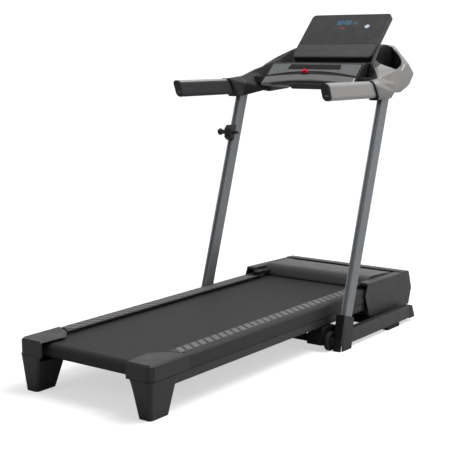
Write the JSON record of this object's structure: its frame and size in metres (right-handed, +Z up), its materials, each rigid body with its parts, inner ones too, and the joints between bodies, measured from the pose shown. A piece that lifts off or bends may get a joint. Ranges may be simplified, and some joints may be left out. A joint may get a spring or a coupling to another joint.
{
  "type": "folding treadmill",
  "caption": "Folding motor treadmill with a walking belt deck, raked uprights, side handlebars and a tilted display console.",
  "frame": {"origin": "centre of the bounding box at the floor; the middle of the deck lies 11.5 mm to +X of it, because the latch knob stands out on the left", "axes": "+Y forward, towards the motor hood and console; +X to the user's right; +Z up"},
  "size_m": [0.763, 1.735, 1.2898],
  "materials": {
    "frame_paint": "satin black powder coat",
    "upright_paint": "satin metallic grey paint",
    "black_plastic": "fine textured black moulding",
    "grey_plastic": "fine textured dark grey moulding",
    "silver_plastic": "satin silver-grey moulding",
    "gloss_black": "polished black window",
    "rubber": "matte black rubber",
    "belt_rubber": "fine grained belt face",
    "rubber_wheel": "matte wheel",
    "grip_foam": "dense grip foam",
    "steel": "zinc plated steel",
    "wood": "fibreboard",
    "motor_casting": "black motor can",
    "flywheel_iron": "turned cast iron",
    "red_plastic": "red moulding"
  },
  "bodies": {
    "base": {"base_tube_right": "frame_paint", "base_tube_left": "frame_paint", "base_end_cap_right": "black_plastic", "base_end_cap_left": "black_plastic", "base_foot_right": "rubber", "base_foot_left": "rubber", "base_cross_rear": "frame_paint", "pivot_frame": "frame_paint", "pivot_bolt_right": "steel", "pivot_bolt_left": "steel", "upright_right": "upright_paint", "upright_left": "upright_paint", "upright_boot_right": "black_plastic", "upright_boot_left": "black_plastic", "handle_tube_right": "steel", "handle_tube_left": "steel", "grip_right": "grip_foam", "grip_left": "grip_foam", "grip_cap_right": "grey_plastic", "grip_cap_left": "grey_plastic", "console_upper": "black_plastic", "console_lower": "black_plastic", "console_crossbar": "frame_paint", "console_wing_right": "silver_plastic", "console_wing_left": "silver_plastic", "cup_holder_right": "black_plastic", "cup_holder_left": "black_plastic", "tray_panel": "grey_plastic", "tray_mat": "rubber", "display_housing": "black_plastic", "display_lens": "gloss_black", "latch_housing": "black_plastic"},
    "deck": {"frame_rail_right": "frame_paint", "frame_rail_left": "frame_paint", "frame_cross_rear": "frame_paint", "motor_plate": "frame_paint", "foot_rail_right": "grey_plastic", "foot_rail_left": "grey_plastic", "rear_cap_right": "black_plastic", "rear_cap_left": "black_plastic", "deck_cushion_right": "rubber", "deck_cushion_left": "rubber", "walking_belt": "belt_rubber", "deck_board": "wood", "motor_hood": "grey_plastic", "belly_pan": "black_plastic", "drive_motor": "motor_casting", "drive_belt": "rubber", "power_inlet": "black_plastic", "rear_axle": "steel", "front_axle": "steel"},
    "rear_roller": {"rear_roller": "steel"},
    "front_roller": {"front_roller": "steel"},
    "flywheel": {"flywheel": "flywheel_iron"},
    "wheel_right": {"transport_wheel_right": "rubber_wheel"},
    "wheel_left": {"transport_wheel_left": "rubber_wheel"},
    "latch_pin": {"latch_pin": "steel"},
    "safety_key": {"safety_key": "red_plastic"},
    "start_button": {"start_button": "silver_plastic"},
    "power_switch": {"power_switch": "red_plastic"}
  },
  "joints": [
    {"name": "deck_fold", "type": "hinge", "parent": "base", "child": "deck", "pos_m": [0.0115, 0.7225, 0.163], "axis": [-1, 0, 0], "range_deg": [0, 67]},
    {"name": "front_roller_spin", "type": "hinge", "parent": "deck", "child": "front_roller", "pos_m": [0.0115, 0.5725, 0.143], "axis": [1, 0, 0], "continuous": true},
    {"name": "rear_roller_spin", "type": "hinge", "parent": "deck", "child": "rear_roller", "pos_m": [0.0115, -0.8055, 0.143], "axis": [1, 0, 0], "continuous": true},
    {"name": "flywheel_spin", "type": "hinge", "parent": "deck", "child": "flywheel", "pos_m": [0.0115, 0.7125, 0.152], "axis": [1, 0, 0], "continuous": true},
    {"name": "wheel_right_spin", "type": "hinge", "parent": "base", "child": "wheel_right", "pos_m": [0.3165, 0.1775, 0.037], "axis": [1, 0, 0], "continuous": true},
    {"name": "wheel_left_spin", "type": "hinge", "parent": "base", "child": "wheel_left", "pos_m": [-0.2935, 0.1775, 0.037], "axis": [1, 0, 0], "continuous": true},
    {"name": "latch_pull", "type": "slide", "parent": "base", "child": "latch_pin", "axis": [1, 0, 0], "range_m": [-0.018, 0.014]},
    {"name": "key_pull", "type": "slide", "parent": "base", "child": "safety_key", "axis": [0, -0.6972, 0.7169], "range_m": [0, 0.03]},
    {"name": "start_press", "type": "slide", "parent": "base", "child": "start_button", "axis": [0, 0.7145, -0.6997], "range_m": [0, 0.0012], "stiffness_N_per_m": 900},
    {"name": "switch_rock", "type": "hinge", "parent": "deck", "child": "power_switch", "pos_m": [0.1535, 0.8495, 0.129], "axis": [1, 0, 0], "range_deg": [-7, 7]}
  ],
  "couplings": [
    {"joint": "rear_roller_spin", "follows": "front_roller_spin", "ratio": 1},
    {"joint": "flywheel_spin", "follows": "front_roller_spin", "ratio": 2.3077}
  ]
}
